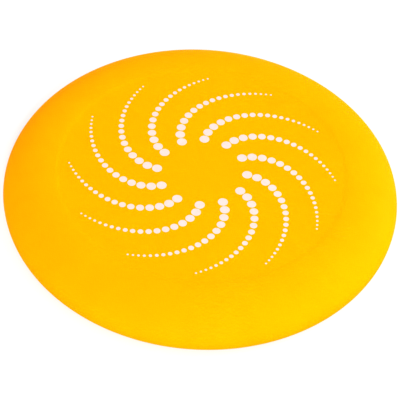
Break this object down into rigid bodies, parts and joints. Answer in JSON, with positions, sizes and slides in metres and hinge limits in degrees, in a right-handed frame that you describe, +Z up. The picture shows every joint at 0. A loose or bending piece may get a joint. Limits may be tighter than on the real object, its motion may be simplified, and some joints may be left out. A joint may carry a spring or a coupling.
{
  "type": "flying disc",
  "caption": "Round one-piece flying disc with a flat top, a domed shoulder and a turned-in rim lip, thrown by hand; white printed curved rows decorate its middle.",
  "frame": {"origin": "on the disc's axis, at the height of the flat foot of the rim lip, which is what the disc rests on", "axes": "+Z up along the disc's axis, out of the printed top; X and Y are any two directions across it, with the first printed row starting on +X"},
  "size_m": [0.22, 0.22, 0.0215],
  "materials": {
    "disc_plastic": "satin",
    "white_ink": "satin"
  },
  "bodies": {
    "root": {"disc_shell": "disc_plastic", "print_row_01": "white_ink", "print_row_02": "white_ink", "print_row_03": "white_ink", "print_row_04": "white_ink", "print_row_05": "white_ink", "print_row_06": "white_ink", "print_row_07": "white_ink", "print_row_08": "white_ink", "print_row_09": "white_ink", "print_row_10": "white_ink", "print_row_11": "white_ink", "print_row_12": "white_ink"}
  },
  "joints": []
}
